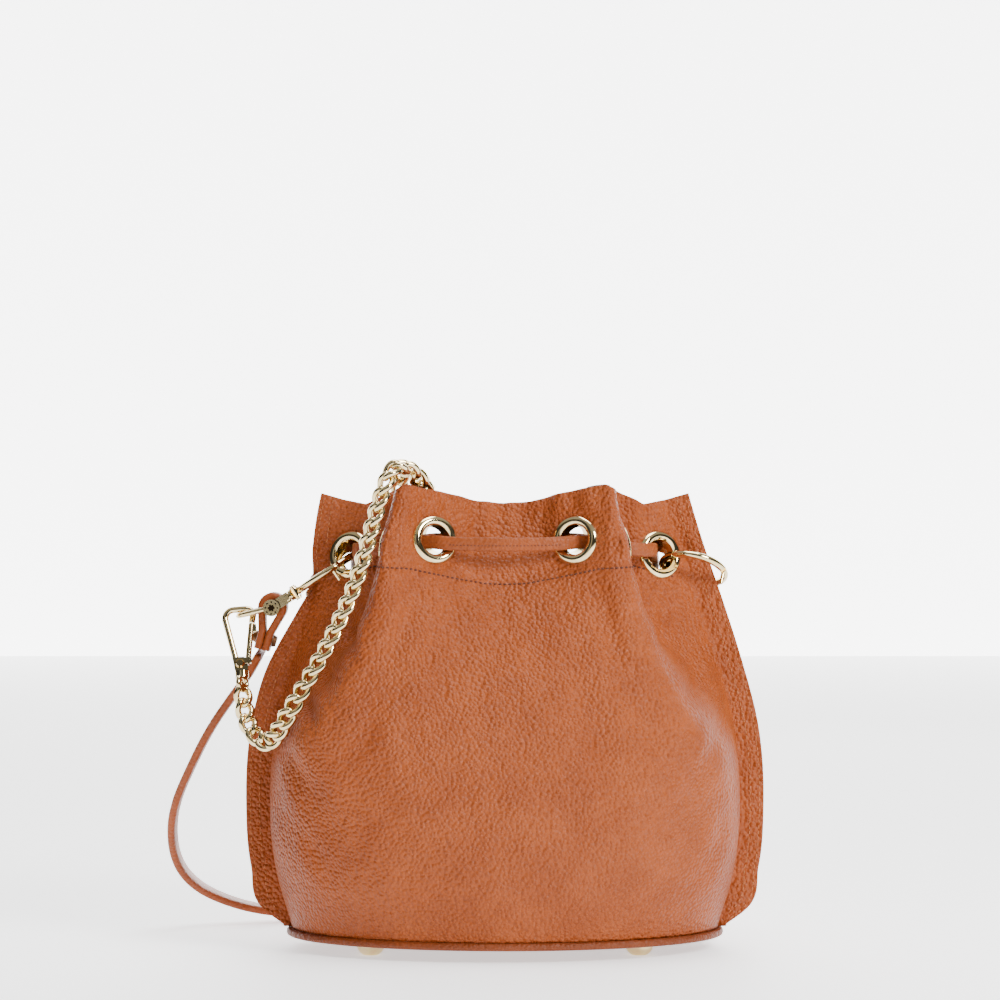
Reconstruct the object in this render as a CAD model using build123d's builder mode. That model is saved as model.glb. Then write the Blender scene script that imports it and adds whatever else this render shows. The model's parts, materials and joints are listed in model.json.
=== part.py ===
from build123d import *
import os
from math import acos, cos, pi, radians, sin, tan

# Drawstring bucket bag of soft leather, with a chain handle and a shoulder strap on snap hooks.
# Millimetres. +Z is up, -Y is the front. The origin is the centre of the base, at floor level.

# ---------------------------------------------------------------- driving dimensions
BASE_Z = 5.0                  # underside of the base, on its feet
BASE_HALF_WIDTH = 89.4
BASE_HALF_DEPTH = 57.0
WELT_HEIGHT = 3.2
WELT_WIDTH = 3.6
PANEL_BOTTOM = BASE_Z + WELT_HEIGHT + 0.1
PANEL_THICKNESS = 2.2
LAYER_GAP = 0.15
HALF_GAP = 0.05                # front and back halves stop this far short of the middle plane
FACING_THICKNESS = 1.4
LINING_THICKNESS = 0.7
FACING_BOTTOM = 146.5
LINING_BOTTOM = 12.4
FLANGE_THICKNESS = 1.5        # of one panel; the pair is sewn face to face

EYELET_RADIUS = 10.0
EYELET_BORE = 6.15
EYELET_BARREL = 6.9
EYELET_HEIGHT = 1.7
EYELET_STACK = PANEL_THICKNESS + LAYER_GAP + FACING_THICKNESS
WASHER_THICKNESS = 0.8

FOOT_X = 54.0
FOOT_Y = 27.0
FOOT_RADIUS = 5.5
FOOT_STEM = 1.5

LACE_RADIUS = 2.2             # round tube with about the section of the flat 6 by 3 lace
TAIL_X = 3.4                  # half the distance between the two lace ends at the slider

STRAP_WIDTH = 13.0
STRAP_THICKNESS = 3.2
STRAP_TUBE = 3.6              # radius of a round tube with the section of the flat strap

HOOK_ROD = 1.5
HOOK_BOW = 13.0               # radius of the bow's centreline
HOOK_BASE = 26.8              # from the apex to the start of the solid base
HOOK_BASE_END = 30.2
HOOK_PIN = 38.4               # from the apex to the cross pin
HOOK_LEG = 3.4                # half distance of the legs where they meet the base
GATE_ANGLE = 60               # where the gate starts, from the apex round the bow
RING_ROD = 1.1
RING_REACH = 14.4
RING_HALF = 9.8

CLASP_ROD = 1.3
CLASP_TOP = 5.9               # half width of the clasp's frame at the top
CLASP_FOOT = 2.1              # half width at the block
CLASP_BLOCK = 21.5
CLASP_BLOCK_END = 27.0
CLASP_EYE = 32.0              # from the clasp's top to the centre of its swivel's eye

LINK_WIRE = 1.15
LINK_LENGTH = 11.2
LINK_WIDTH = 8.0
LINK_PITCH = 6.35

# ---------------------------------------------------------------- shape of the body
# Outer outline of one quarter at each height: centre front, inner flank, eyelet flank, fold,
# hidden flank, valley, side flank, seam. The second number counts away from the middle plane.


def superellipse_quarter(half_width, half_depth, power):
    """Eleven points of a superellipse, from the centre front to the side seam."""
    points = []
    for step in range(11):
        angle = radians(9 * step)
        x = half_width * abs(sin(angle)) ** (2 / power)
        y = half_depth * abs(cos(angle)) ** (2 / power)
        points.append((x, y if step < 10 else 0.0))
    return points


QUARTERS = {
    PANEL_BOTTOM: superellipse_quarter(87.2, 55.6, 2.0),
    30.0: superellipse_quarter(93.4, 60.0, 2.35),
    60.0: superellipse_quarter(96.2, 61.0, 2.6),
    88.0: [(0, 56.5), (24, 56.2), (46, 54.6), (63, 51.6), (73.5, 48), (80, 42.5),
           (84, 36), (87.3, 28.5), (90, 20), (92.8, 10.5), (94.4, 0)],
    112.0: [(0, 50), (20, 50), (39, 50), (54, 49), (62.5, 46), (67.5, 39.5),
            (70, 32), (73, 25.5), (77, 18.5), (83.5, 10.5), (88.8, 0)],
    138.0: [(0, 38), (16, 39), (33, 42.3), (45.5, 45), (53, 44), (56.3, 38),
            (55.5, 29), (54.5, 20.5), (58.5, 15.5), (70, 8.8), (80.5, 0)],
    163.5: [(0, 26), (14, 27.8), (28, 33.8), (40, 40), (47.5, 41.6), (49.8, 36),
            (46.3, 26.5), (42.8, 16.8), (47.5, 12.2), (62, 7), (72.4, 0)],
    196.0: [(0, 18.5), (12, 20.2), (24, 26.3), (34, 33.6), (40.5, 35.5), (42.3, 31),
            (39.8, 22.5), (36.8, 14.5), (41, 10.4), (53, 6), (62.5, 0)],
}

# Height of the rim across the bag: low at the centre, high at the folds, lower at the seams.
RIM = [(0, 181.6), (11, 182.3), (25, 186.0), (40, 189.2), (48, 185.4), (57, 181.2), (66, 183), (75, 185.6),
       (112, 184)]

# Outer edge of the side seam flanges, from the base up: distance from the middle, height.
# The left flange gives way to the strap hook's base, between the hook's two legs.
RIGHT_EDGE = [(90.5, 9), (98.6, 15), (104, 33), (106, 58), (103.8, 91), (97.2, 117),
              (89.6, 141), (81.4, 165), (75.2, 186), (73, 194)]
LEFT_EDGE = [(90.5, 9), (98.6, 15), (104, 33), (106, 58), (103.8, 91), (98.4, 112),
             (84.6, 138), (79.8, 146.5), (78.8, 163.5), (75.2, 186), (73, 194)]

# Eyelets of the right front quarter: x, y, z, yaw of the face from straight ahead, tilt upwards.
FRONT_EYELETS = [(28, -33.0, 166.8, -27, 10), (46.6, -26.6, 163.5, 106, 6),
                 (63.3, -6.6, 160.5, 30, 10)]
BACK_EYELETS = [(28, -33.0, 166.8, -27, 10), (46.6, -26.6, 163.5, 106, 6),
                (65.3, -7.0, 156.2, 30, 10)]

# ---------------------------------------------------------------- places of hooks and clasps
LEFT_APEX = Vector(-62.8, 0, 159.9)
LEFT_AXIS = Vector(-0.838, 0, -0.546)
LEFT_SPREAD = Vector(0, 1, 0)
LEFT_RING_AXIS = Vector(-0.97, 0, -0.24)
RIGHT_APEX = Vector(77.8, -12.1, 160.2)
RIGHT_AXIS = Vector(-0.037, 0.896, -0.442)
RIGHT_SPREAD = Vector(0.975, -0.064, -0.212)
RIGHT_RING_AXIS = Vector(-0.1, 0.8, -0.6)
LEFT_FOOT = Vector(-99.6, 0, 121.5)
RIGHT_FOOT = Vector(79.2, 22.6, 124.5)

# ---------------------------------------------------------------- routes of lace, strap and chain
LACE_HALF = [(0, -36.0, 163.8), (20, -36.8, 165.0), (31, -29.3, 166.4), (41, -25.5, 164.5),
             (53.5, -23.5, 162.6), (60.6, -16, 162.6), (61.0, -6, 162.4), (62.2, 6.5, 157.2),
             (62.8, 17, 156.4), (53.8, 24.6, 159.4), (41, 25.5, 164.0), (31, 29.3, 166.4),
             (20, 36.8, 166.0), (9, 39.6, 166.6), (TAIL_X, 41.6, 160.0), (TAIL_X, 49.6, 132.0),
             (4.4, 54.5, 121.0), (5.4, 58.0, 109.0)]

STRAP_LEFT = [(-100.5, 0.5, 119.8), (-104.5, 3, 112), (-113, 7, 101), (-122, 12, 88), (-130, 20, 73),
              (-138, 29, 56), (-140.5, 40, 41), (-138.5, 51, 27.5), (-131, 62, 17),
              (-118, 72, 9.5), (-103, 79, 5.0), (-88, 83, 3.7), (-76, 84, 3.7)]
STRAP_RIGHT = [(66, 84, 16.0), (76, 83.2, 18.5), (84, 79, 26), (88, 71, 38), (90.5, 61.5, 54),
               (91.5, 51.5, 71), (90, 41.5, 87), (86.5, 32, 101), (82, 25.5, 115), (79.5, 22.9, 123.4)]
HANK_HALF_LENGTH = 71.0
HANK_Y = 84.0
HANK_HEIGHT = 20.0
HANK_CENTRE_X = -5.0

CHAIN = [(-105.8, -15.5, 96), (-102, -19.5, 88.5), (-96.5, -25.5, 84.6), (-92.5, -32, 87),
         (-87.5, -38.5, 95.5), (-80.5, -42.5, 107.5), (-72, -45.5, 122), (-64.5, -47, 137),
         (-58.5, -47.5, 151), (-54.5, -46.5, 165), (-51, -44.5, 178), (-48.5, -44.2, 187),
         (-44.5, -41.5, 196.8), (-37, -31.5, 195.4), (-31.5, -21, 185.5), (-29.3, -8, 179), (-29.3, 8, 179),
         (-31.5, 21, 185.5), (-37, 31.5, 195.4), (-43.5, 42, 196.8), (-45, 48, 187), (-43, 51.5, 174), (-37, 56, 156),
         (-27, 60, 138), (-13, 64, 121), (4, 68, 107), (22, 71, 98), (39, 70, 96), (51, 64.5, 101)]


def unit_plane(origin, along, across):
    """Plane with local x along the first direction and local y nearly along the second."""
    normal = along.cross(across).normalized()
    return Plane(origin=origin, x_dir=along.normalized(), z_dir=normal)


def mirror_x(point):
    return (-point[0], point[1], point[2])


# ---------------------------------------------------------------- leather body
def closed_outline(quarter):
    """The whole outline from one quarter, counterclockwise from the centre front."""
    right_front = [(x, -y) for x, y in quarter]
    right_back = [(x, y) for x, y in reversed(quarter[:-1])]
    left_back = [(-x, y) for x, y in quarter[1:]]
    left_front = [(-x, -y) for x, y in reversed(quarter[1:-1])]
    return right_front + right_back + left_back + left_front


def inset_outline(points, distance):
    """The outline moved inwards by distance, mitred at its corners."""
    moved = []
    for index, (x, y) in enumerate(points):
        before = points[index - 1]
        after = points[(index + 1) % len(points)]
        arriving = Vector(x - before[0], y - before[1]).normalized()
        leaving = Vector(after[0] - x, after[1] - y).normalized()
        middle = (arriving + leaving).normalized()
        reach = distance / max(0.45, middle.dot(leaving))
        moved.append((x - middle.Y * reach, y + middle.X * reach))
    return moved


def between(table, value):
    """Straight-line value from a table of (position, number) pairs in rising order."""
    for (low, first), (high, second) in zip(table, table[1:]):
        if value <= high:
            share = max(0.0, (value - low) / (high - low))
            return first + (second - first) * share
    return table[-1][1]


def quarter_at(height):
    """The quarter outline at any height, from the two nearest ones."""
    levels = sorted(QUARTERS)
    low = max([level for level in levels[:-1] if level <= height] + [levels[0]])
    high = levels[levels.index(low) + 1]
    share = (height - low) / (high - low)
    pairs = zip(QUARTERS[low], QUARTERS[high])
    return [(a[0] + (b[0] - a[0]) * share, a[1] + (b[1] - a[1]) * share) for a, b in pairs]


def half_row(height, inset, at_rim):
    """One row of the front half at a height, from the left seam to the right seam."""
    outline = inset_outline(closed_outline(quarter_at(height)), inset)
    quarter = len(outline) // 4
    row = outline[3 * quarter:] + outline[:quarter + 1]
    return [Vector(x, min(y, -HALF_GAP), between(RIM, abs(x)) if at_rim else height) for x, y in row]


def add_flange_columns(outer, inner):
    """The sewn seam allowance: both rows run out to the flange's edge at each end."""
    height = outer[0].Z
    left = -between([(z, x) for x, z in LEFT_EDGE], height)
    right = between([(z, x) for x, z in RIGHT_EDGE], height)
    face = -HALF_GAP - FLANGE_THICKNESS
    outer[0] = Vector(outer[0].X, face, height)
    outer[-1] = Vector(outer[-1].X, face, height)
    outer[:] = [Vector(left, face, height)] + outer + [Vector(right, face, height)]
    inner[:] = [Vector(left, -HALF_GAP, height)] + inner + [Vector(right, -HALF_GAP, height)]


def triangles(rows):
    """Flat facets between neighbouring rows of points."""
    facets = []
    for low, high in zip(rows, rows[1:]):
        for index in range(len(low) - 1):
            facets.append((low[index], low[index + 1], high[index + 1]))
            facets.append((low[index], high[index + 1], high[index]))
    return facets


def layer_solid(outer_rows, inner_rows):
    """A closed solid between two surfaces given as rows of points."""
    ends = [[[outer[end], inner[end]] for outer, inner in zip(outer_rows, inner_rows)] for end in (0, -1)]
    edges = [[outer_rows[end], inner_rows[end]] for end in (0, -1)]
    facets = []
    for surface in [outer_rows, inner_rows] + ends + edges:
        facets += triangles(surface)
    return Solid(Shell([Face(Wire.make_polygon(corners)) for corners in facets]))


def eyelet_planes(quarter_eyelets, back=False):
    """Planes of the six eyelets of one panel, local z pointing out of the bag."""
    planes = []
    for x, y, z, yaw, tilt in quarter_eyelets:
        for side in (1, -1):
            level = cos(radians(tilt))
            normal = Vector(side * sin(radians(yaw)) * level, -cos(radians(yaw)) * level, sin(radians(tilt)))
            origin = Vector(side * x, y, z)
            if back:
                normal = Vector(normal.X, -normal.Y, normal.Z)
                origin = Vector(origin.X, -origin.Y, origin.Z)
            level_direction = Vector(0, 0, 1).cross(normal)
            planes.append(Plane(origin=origin, x_dir=level_direction, z_dir=normal))
    return planes


FRONT_PLANES = eyelet_planes(FRONT_EYELETS)
BACK_PLANES = eyelet_planes(BACK_EYELETS, back=True)


def eyelet_waste(planes):
    """The round holes for the eyelets' barrels, and the leather pressed flat under their faces."""
    with BuildPart() as waste:
        for plane in planes:
            side = Plane(origin=plane.origin, x_dir=plane.x_dir, z_dir=-plane.y_dir)
            inner = -EYELET_STACK
            with BuildSketch(side):
                with BuildLine():
                    Polyline((0, 6), (EYELET_RADIUS + 0.15, 6), (EYELET_RADIUS + 0.15, 0),
                             (EYELET_BARREL + 0.1, 0), (EYELET_BARREL + 0.1, inner),
                             (EYELET_RADIUS - 0.3, inner), (EYELET_RADIUS - 0.3, inner - 4),
                             (0, inner - 4), (0, 6))
                make_face()
            revolve(axis=Axis(plane.origin, plane.z_dir))
    return waste.part


def leather_half(label, outer_inset, thickness, heights, front, flange=False, pierced=True):
    """Front or back half of one layer of the body; the last height is the rim if it is above it."""
    outer_rows = []
    inner_rows = []
    for height in heights:
        at_rim = height > RIM[0][1]
        outer = half_row(height, outer_inset, at_rim)
        inner = half_row(height, outer_inset + thickness, at_rim)
        if flange:
            add_flange_columns(outer, inner)
        outer_rows.append(outer)
        inner_rows.append(inner)
    with BuildPart() as half:
        add(layer_solid(outer_rows, inner_rows))
        if not front:
            mirror(about=Plane.XZ, mode=Mode.REPLACE)
        if pierced:
            add(eyelet_waste(FRONT_PLANES if front else BACK_PLANES), mode=Mode.SUBTRACT)
    half.part.label = label
    return half.part


def base_plate(label, bottom, thickness, margin):
    """An oval sheet of the base, smaller than the welt by margin all round."""
    with BuildPart() as plate:
        with BuildSketch(Plane.XY.offset(bottom)):
            Ellipse(BASE_HALF_WIDTH - margin, BASE_HALF_DEPTH - margin)
            if bottom < LINING_BOTTOM - 2:
                with Locations(*foot_places()):
                    Circle(FOOT_STEM + 0.1, mode=Mode.SUBTRACT)
        extrude(amount=thickness)
    plate.part.label = label
    return plate.part


def foot_places():
    return [(x, y) for x in (-FOOT_X, FOOT_X) for y in (-FOOT_Y, FOOT_Y)]


def base_welt():
    """The oval leather strip that the panels stand on."""
    with BuildPart() as welt:
        with BuildSketch(Plane.XY.offset(BASE_Z)):
            Ellipse(BASE_HALF_WIDTH, BASE_HALF_DEPTH)
            Ellipse(BASE_HALF_WIDTH - WELT_WIDTH, BASE_HALF_DEPTH - WELT_WIDTH, mode=Mode.SUBTRACT)
        extrude(amount=WELT_HEIGHT)
        fillet(welt.edges().group_by(Axis.Z)[-1], 0.8)
    welt.part.label = "base_welt"
    return welt.part


def base_feet():
    """Four domed metal feet, each with a stem up through the base."""
    with BuildPart() as feet:
        for x, y in foot_places():
            with BuildSketch(Plane(origin=(x, y, 0), x_dir=(1, 0, 0), z_dir=(0, -1, 0))):
                with BuildLine():
                    Polyline((0, 0), (FOOT_RADIUS - 2.2, 0))
                    ThreePointArc((FOOT_RADIUS - 2.2, 0), (FOOT_RADIUS - 0.5, 1.6), (FOOT_RADIUS, BASE_Z - 0.1))
                    Polyline((FOOT_RADIUS, BASE_Z - 0.1), (FOOT_STEM, BASE_Z - 0.1), (FOOT_STEM, 11.2),
                             (0, 11.2), (0, 0))
                make_face()
            revolve(axis=Axis((x, y, 0), (0, 0, 1)))
    feet.part.label = "base_feet"
    return feet.part


def foot_washers():
    """Washers that hold the feet's stems on top of the base board."""
    with BuildPart() as washers:
        with BuildSketch(Plane.XY.offset(9.5)):
            with Locations(*foot_places()):
                Circle(5)
                Circle(FOOT_STEM + 0.05, mode=Mode.SUBTRACT)
        extrude(amount=1.0)
    washers.part.label = "foot_washers"
    return washers.part


# ---------------------------------------------------------------- eyelets
def other_half(planes):
    """Everything on the far side of the middle plane, where the other panel's metal is."""
    side = 1 if planes[0].origin.Y < 0 else -1
    with BuildPart() as block:
        with Locations((0, side * (60 - HALF_GAP), 160)):
            Box(240, 120, 80)
    return block.part


def eyelets(label, planes):
    """Domed metal eyelets, each with a barrel through the leather."""
    with BuildPart() as group:
        for plane in planes:
            side = Plane(origin=plane.origin, x_dir=plane.x_dir, z_dir=-plane.y_dir)
            with BuildSketch(side):
                with BuildLine():
                    Polyline((EYELET_BORE, 0.9), (EYELET_BORE, -EYELET_STACK - 0.9),
                             (EYELET_BARREL, -EYELET_STACK - 0.9), (EYELET_BARREL, 0.05),
                             (EYELET_RADIUS, 0.05))
                    ThreePointArc((EYELET_RADIUS, 0.05), (EYELET_RADIUS - 1.9, EYELET_HEIGHT),
                                  (EYELET_BORE, 0.9))
                make_face()
            revolve(axis=Axis(plane.origin, plane.z_dir))
        add(other_half(planes), mode=Mode.SUBTRACT)
    group.part.label = label
    return group.part


def eyelet_washers(label, planes):
    """Flat rings that clamp the eyelets' barrels on the inside."""
    with BuildPart() as group:
        for plane in planes:
            with BuildSketch(plane.offset(-EYELET_STACK - 0.05)):
                Circle(EYELET_RADIUS - 0.6)
                Circle(EYELET_BARREL + 0.05, mode=Mode.SUBTRACT)
            extrude(amount=-WASHER_THICKNESS)
        add(other_half(planes), mode=Mode.SUBTRACT)
    group.part.label = label
    return group.part


# ---------------------------------------------------------------- tubes
def corner_radii(points, share=0.45):
    """The largest arcs that the runs leave room for, one at each inner point of a route."""
    radii = []
    for before, here, after in zip(points, points[1:], points[2:]):
        incoming = Vector(*here) - Vector(*before)
        outgoing = Vector(*after) - Vector(*here)
        half_turn = radians(incoming.get_angle(outgoing)) / 2
        radii.append(share * min(incoming.length, outgoing.length) / tan(half_turn))
    return radii


def tube(label, points, radius):
    """A round tube along straight runs joined by tangent arcs."""
    radii = corner_radii(points)
    with BuildPart() as cord:
        with BuildLine() as route:
            FilletPolyline(*points, radius=radii)
        path = route.wire()
        with BuildSketch(Plane(origin=path @ 0, z_dir=path % 0)):
            Circle(radius)
        sweep(path=path)
    cord.part.label = label
    expected = pi * radius * radius * path.length
    print(f"{label}: length {path.length:.0f}, tightest arc {min(radii):.1f}, "
          f"volume {cord.part.volume:.0f} of {expected:.0f}")
    return cord.part


def drawstring():
    """The lace, threaded through all twelve eyelets, its two ends hanging at the back."""
    left = [mirror_x(point) for point in reversed(LACE_HALF[1:])]
    return tube("drawstring", left + LACE_HALF[1:], LACE_RADIUS)


TAIL_TOP = Vector(*LACE_HALF[-4])
TAIL_AXIS = (Vector(*LACE_HALF[-3]) - TAIL_TOP).normalized()


def drawstring_slider():
    """A leather keeper with two holes, which slides down the ends to close the mouth."""
    plane = Plane(origin=TAIL_TOP + TAIL_AXIS * 4.4 - Vector(TAIL_X, 0, 0), x_dir=(1, 0, 0), z_dir=TAIL_AXIS)
    with BuildPart() as slider:
        with BuildSketch(plane):
            RectangleRounded(17, 8.6, 3.2)
            with Locations((-TAIL_X, 0), (TAIL_X, 0)):
                Circle(LACE_RADIUS + 0.3, mode=Mode.SUBTRACT)
        extrude(amount=9)
    slider.part.label = "drawstring_slider"
    return slider.part


def drawstring_tips():
    """Metal caps on the two ends of the lace."""
    end = Vector(*LACE_HALF[-1])
    direction = (end - Vector(*LACE_HALF[-2])).normalized()
    with BuildPart() as tips:
        for side in (1, -1):
            origin = Vector(side * end.X, end.Y, end.Z)
            axis = Vector(side * direction.X, direction.Y, direction.Z)
            with BuildSketch(Plane(origin=origin, z_dir=axis)):
                Circle(2.9)
            extrude(amount=9, taper=4)
    tips.part.label = "drawstring_tips"
    return tips.part


# ---------------------------------------------------------------- strap hooks
def leg_contact(bow, reach, half):
    """Where a leg from (reach, half) meets the bow's circle, centred at (bow, 0)."""
    distance = Vector(reach - bow, half).length
    lean = radians(Vector(1, 0).get_angle(Vector(reach - bow, half)))
    angle = lean + acos(bow / distance)
    return (bow + bow * cos(angle), bow * sin(angle))


def bow_point(bow, angle_from_apex, side):
    """A point of the bow, counted from the apex towards one side."""
    turn = radians(angle_from_apex)
    return (bow - bow * cos(turn), side * bow * sin(turn))


def hook_frame(label, plane, gate_side):
    """Pear-shaped bow of round rod with a solid base; open where the gate closes it."""
    contact = leg_contact(HOOK_BOW, HOOK_BASE, HOOK_LEG)
    solid_side = -gate_side
    with BuildPart() as frame:
        with BuildLine(plane) as bow:
            Line((HOOK_BASE + 1, solid_side * HOOK_LEG), (contact[0], solid_side * contact[1]))
            ThreePointArc((contact[0], solid_side * contact[1]), (0, 0),
                          bow_point(HOOK_BOW, GATE_ANGLE - 3, gate_side))
        path = bow.wire()
        with BuildSketch(Plane(origin=path @ 0, z_dir=path % 0)):
            Circle(HOOK_ROD)
        sweep(path=path)
        base_plane = Plane(origin=plane.from_local_coords((HOOK_BASE, 0, 0)), x_dir=plane.y_dir, z_dir=plane.x_dir)
        with BuildSketch(base_plane):
            with Locations((solid_side * 1.6, 0)):
                RectangleRounded(7.0, 5.0, 1.6)
        with BuildSketch(base_plane.offset(HOOK_BASE_END - HOOK_BASE)):
            Circle(2.3)
        loft()
        for height in (-2.45, 1.75):
            with BuildSketch(plane.offset(height)):
                with Locations((HOOK_BASE + 0.8, gate_side * 2.4)):
                    Rectangle(2.6, 4.0)
                with Locations((HOOK_BASE + 0.4, gate_side * (HOOK_LEG + 1.0))):
                    Circle(1.6)
                    Circle(0.72, mode=Mode.SUBTRACT)
            extrude(amount=0.7)
        with BuildSketch(base_plane):
            Circle(1.55)
        extrude(amount=7, mode=Mode.SUBTRACT)
    frame.part.label = label
    return frame.part


def hook_gate(label, plane, gate_side):
    """The sprung leg that closes the bow, with an eye for its pin and a thumb lever."""
    contact = leg_contact(HOOK_BOW, HOOK_BASE, HOOK_LEG)
    start = bow_point(HOOK_BOW, GATE_ANGLE + 4, gate_side)
    middle = bow_point(HOOK_BOW, GATE_ANGLE + 18, gate_side)
    with BuildPart() as gate:
        with BuildLine(plane) as leg:
            ThreePointArc(start, middle, (contact[0], gate_side * contact[1]))
            Line((contact[0], gate_side * contact[1]), (HOOK_BASE - 0.9, gate_side * (HOOK_LEG + 0.45)))
        path = leg.wire()
        with BuildSketch(Plane(origin=path @ 0, z_dir=path % 0)):
            Circle(HOOK_ROD - 0.1)
        sweep(path=path)
        with BuildSketch(plane.offset(-1.6)):
            with Locations((HOOK_BASE + 0.4, gate_side * (HOOK_LEG + 1.0))):
                Circle(1.9)
        extrude(amount=3.2)
        with BuildSketch(plane):
            with Locations((start[0] + 1.6, start[1] + gate_side * 0.5)):
                Circle(0.95)
        extrude(amount=5.6, taper=3)
        with BuildSketch(plane.offset(-3)):
            with Locations((HOOK_BASE + 0.4, gate_side * (HOOK_LEG + 1.0))):
                Circle(0.75)
        extrude(amount=6, mode=Mode.SUBTRACT)
    gate.part.label = label
    return gate.part


def hook_gate_pin(label, plane, gate_side):
    """The pin that the gate turns on, with a small head on each side."""
    with BuildPart() as pin:
        with BuildSketch(plane.offset(-3.1)):
            with Locations((HOOK_BASE + 0.4, gate_side * (HOOK_LEG + 1.0))):
                Circle(0.67)
        extrude(amount=6.2)
        for height in (-3.1, 2.5):
            with BuildSketch(plane.offset(height)):
                with Locations((HOOK_BASE + 0.4, gate_side * (HOOK_LEG + 1.0))):
                    Circle(1.2)
            extrude(amount=0.6)
    pin.part.label = label
    return pin.part


def hook_swivel(label, plane):
    """Post that turns in the hook's base, and the yoke that holds the cross pin."""
    base_plane = Plane(origin=plane.from_local_coords((HOOK_BASE + 1.5, 0, 0)), x_dir=plane.y_dir, z_dir=plane.x_dir)
    reach = HOOK_BASE_END + 0.9 - HOOK_BASE - 1.5
    with BuildPart() as swivel:
        with BuildSketch(base_plane):
            Circle(1.5)
        extrude(amount=reach + 0.6)
        with BuildSketch(base_plane.offset(HOOK_BASE_END + 0.15 - HOOK_BASE - 1.5)):
            RectangleRounded(18.2, 4.4, 1.2)
        extrude(amount=1.3)
        arm = HOOK_PIN - HOOK_BASE_END - 0.3
        for side in (-1, 1):
            with BuildSketch(Plane(origin=plane.from_local_coords((HOOK_PIN, side * 8.1, 0)),
                                   x_dir=plane.x_dir, z_dir=plane.y_dir)):
                with Locations((-arm / 2, 0)):
                    Rectangle(arm, 4.4)
                Circle(2.2)
                Circle(1.35, mode=Mode.SUBTRACT)
            extrude(amount=0.95, both=True)
    swivel.part.label = label
    return swivel.part


def hook_cross_pin(label, plane):
    """The bar that the strap turns on, with a star-recessed head at each end."""
    pin_plane = Plane(origin=plane.from_local_coords((HOOK_PIN, 0, 0)), x_dir=plane.x_dir, z_dir=plane.y_dir)
    with BuildPart() as pin:
        with BuildSketch(pin_plane):
            Circle(1.3)
        extrude(amount=12.2, both=True)
        for side in (-1, 1):
            with BuildSketch(pin_plane.offset(side * 11.4)):
                Circle(3.4)
            extrude(amount=side * 1.8)
            with BuildSketch(pin_plane.offset(side * 13.2)):
                Circle(1.3)
                with PolarLocations(2.35, 8):
                    Circle(0.42)
            extrude(amount=-side * 0.9, mode=Mode.SUBTRACT)
    pin.part.label = label
    return pin.part


def ring_plane(plane, ring_axis):
    """Plane of the D ring: it starts at the cross pin and reaches along ring_axis."""
    centre = plane.from_local_coords((HOOK_PIN, 0, 0))
    across = plane.y_dir
    along = (ring_axis - across * ring_axis.dot(across)).normalized()
    return Plane(origin=centre, x_dir=along, z_dir=along.cross(across))


def d_ring(label, plane, ring_axis):
    """A D ring whose two ends turn on the cross pin; the chain's clasp hangs on it."""
    flat = ring_plane(plane, ring_axis)
    with BuildPart() as ring:
        with BuildLine(flat) as bar:
            FilletPolyline((1.6, -RING_HALF - 0.55), (RING_REACH, -RING_HALF - 0.55),
                           (RING_REACH, RING_HALF + 0.55), (1.6, RING_HALF + 0.55), radius=7.5)
        path = bar.wire()
        with BuildSketch(Plane(origin=path @ 0, z_dir=path % 0)):
            Circle(RING_ROD)
        sweep(path=path)
        for side in (-1, 1):
            eye = Plane(origin=flat.from_local_coords((0, side * (RING_HALF + 0.42), 0)),
                        x_dir=flat.x_dir, z_dir=flat.y_dir)
            with BuildSketch(eye):
                Circle(2.5)
                Circle(1.36, mode=Mode.SUBTRACT)
            extrude(amount=0.95, both=True)
    ring.part.label = label
    return ring.part


# ---------------------------------------------------------------- strap ends
def strap_loop(label, plane, foot):
    """The strap's end folded round the cross pin, down to where its two layers meet."""
    centre = plane.from_local_coords((HOOK_PIN, 0, 0))
    along = (foot - centre).normalized()
    across = plane.y_dir
    along = (along - across * along.dot(across)).normalized()
    side = Plane(origin=centre - across * (STRAP_WIDTH / 2), x_dir=along, z_dir=across)
    reach = (foot - centre).dot(along)
    with BuildPart() as loop:
        with BuildSketch(side):
            with BuildLine():
                outer = ThreePointArc((1.5, 5.9), (-6.1, 0), (1.5, -5.9))
                Polyline(outer @ 1, (reach - 9, -STRAP_THICKNESS), (reach - 0.8, -STRAP_THICKNESS),
                         (reach, -2.6), (reach, 2.6), (reach - 0.8, STRAP_THICKNESS),
                         (reach - 9, STRAP_THICKNESS), outer @ 0)
            make_face()
            with BuildLine():
                inner = ThreePointArc((1, 2.8), (-3.0, 0), (1, -2.8))
                Polyline(inner @ 1, (10, 0), inner @ 0)
            make_face(mode=Mode.SUBTRACT)
        extrude(amount=STRAP_WIDTH)
    loop.part.label = label
    return loop.part


def strap_screw(label, plane, foot):
    """The small screw that closes the strap's loop, head and nut on the leather's faces."""
    centre = plane.from_local_coords((HOOK_PIN, 0, 0))
    across = plane.y_dir
    along = (foot - centre)
    along = (along - across * along.dot(across)).normalized()
    place = centre + along * ((foot - centre).dot(along) - 4.6)
    through = along.cross(across)
    with BuildPart() as screw:
        for side in (-1, 1):
            with BuildSketch(Plane(origin=place + through * (side * 3.35), z_dir=through * side)):
                Circle(2.6)
            extrude(amount=1.6, taper=18)
    screw.part.label = label
    return screw.part


def strap_hank():
    """Outer shape of the put-away length of strap, folded back and forth behind the bag."""
    with BuildPart() as hank:
        with BuildSketch(Plane(origin=(HANK_CENTRE_X, HANK_Y, 0), x_dir=(1, 0, 0), z_dir=(0, -1, 0))):
            with Locations((0, HANK_HEIGHT / 2)):
                RectangleRounded(2 * HANK_HALF_LENGTH, HANK_HEIGHT - 0.1, 6)
        extrude(amount=STRAP_WIDTH / 2 + 0.5, both=True)
    hank.part.label = "strap_hank"
    return hank.part


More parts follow.
